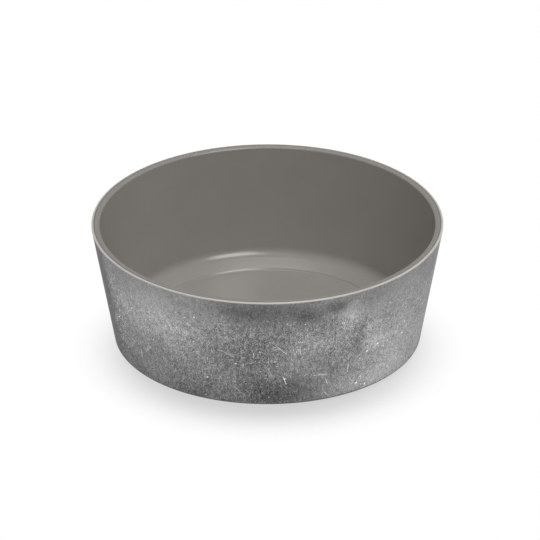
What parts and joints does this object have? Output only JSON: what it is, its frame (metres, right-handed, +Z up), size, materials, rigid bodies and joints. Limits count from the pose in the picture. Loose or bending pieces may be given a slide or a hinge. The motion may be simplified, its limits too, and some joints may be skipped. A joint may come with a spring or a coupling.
{
  "type": "pet food bowl",
  "caption": "Round pet food bowl with flared straight walls, a crowned rim, a stepped floor, a worn-metal printed wrap and a pull-out non-slip ring under its base.",
  "frame": {"origin": "centre of the non-slip ring's underside, on the surface that the bowl stands on", "axes": "+Z up along the bowl's axis; the printed wrap's seam is on the +Y side, and the picture looks along +Y"},
  "size_m": [0.1898, 0.1898, 0.068],
  "materials": {
    "melamine": "satin moulded melamine, warm grey",
    "metal_print": "print of worn galvanised metal under clear satin resin",
    "silicone": "matte moulded silicone, dark grey"
  },
  "bodies": {
    "bowl": {"bowl_body": "melamine", "printed_wrap": "metal_print"},
    "base_ring": {"non_slip_ring": "silicone"}
  },
  "joints": [
    {"name": "bowl_off_ring", "type": "slide", "parent": "base_ring", "child": "bowl", "axis": [0, 0, 1], "range_m": [0, 0.02]}
  ]
}
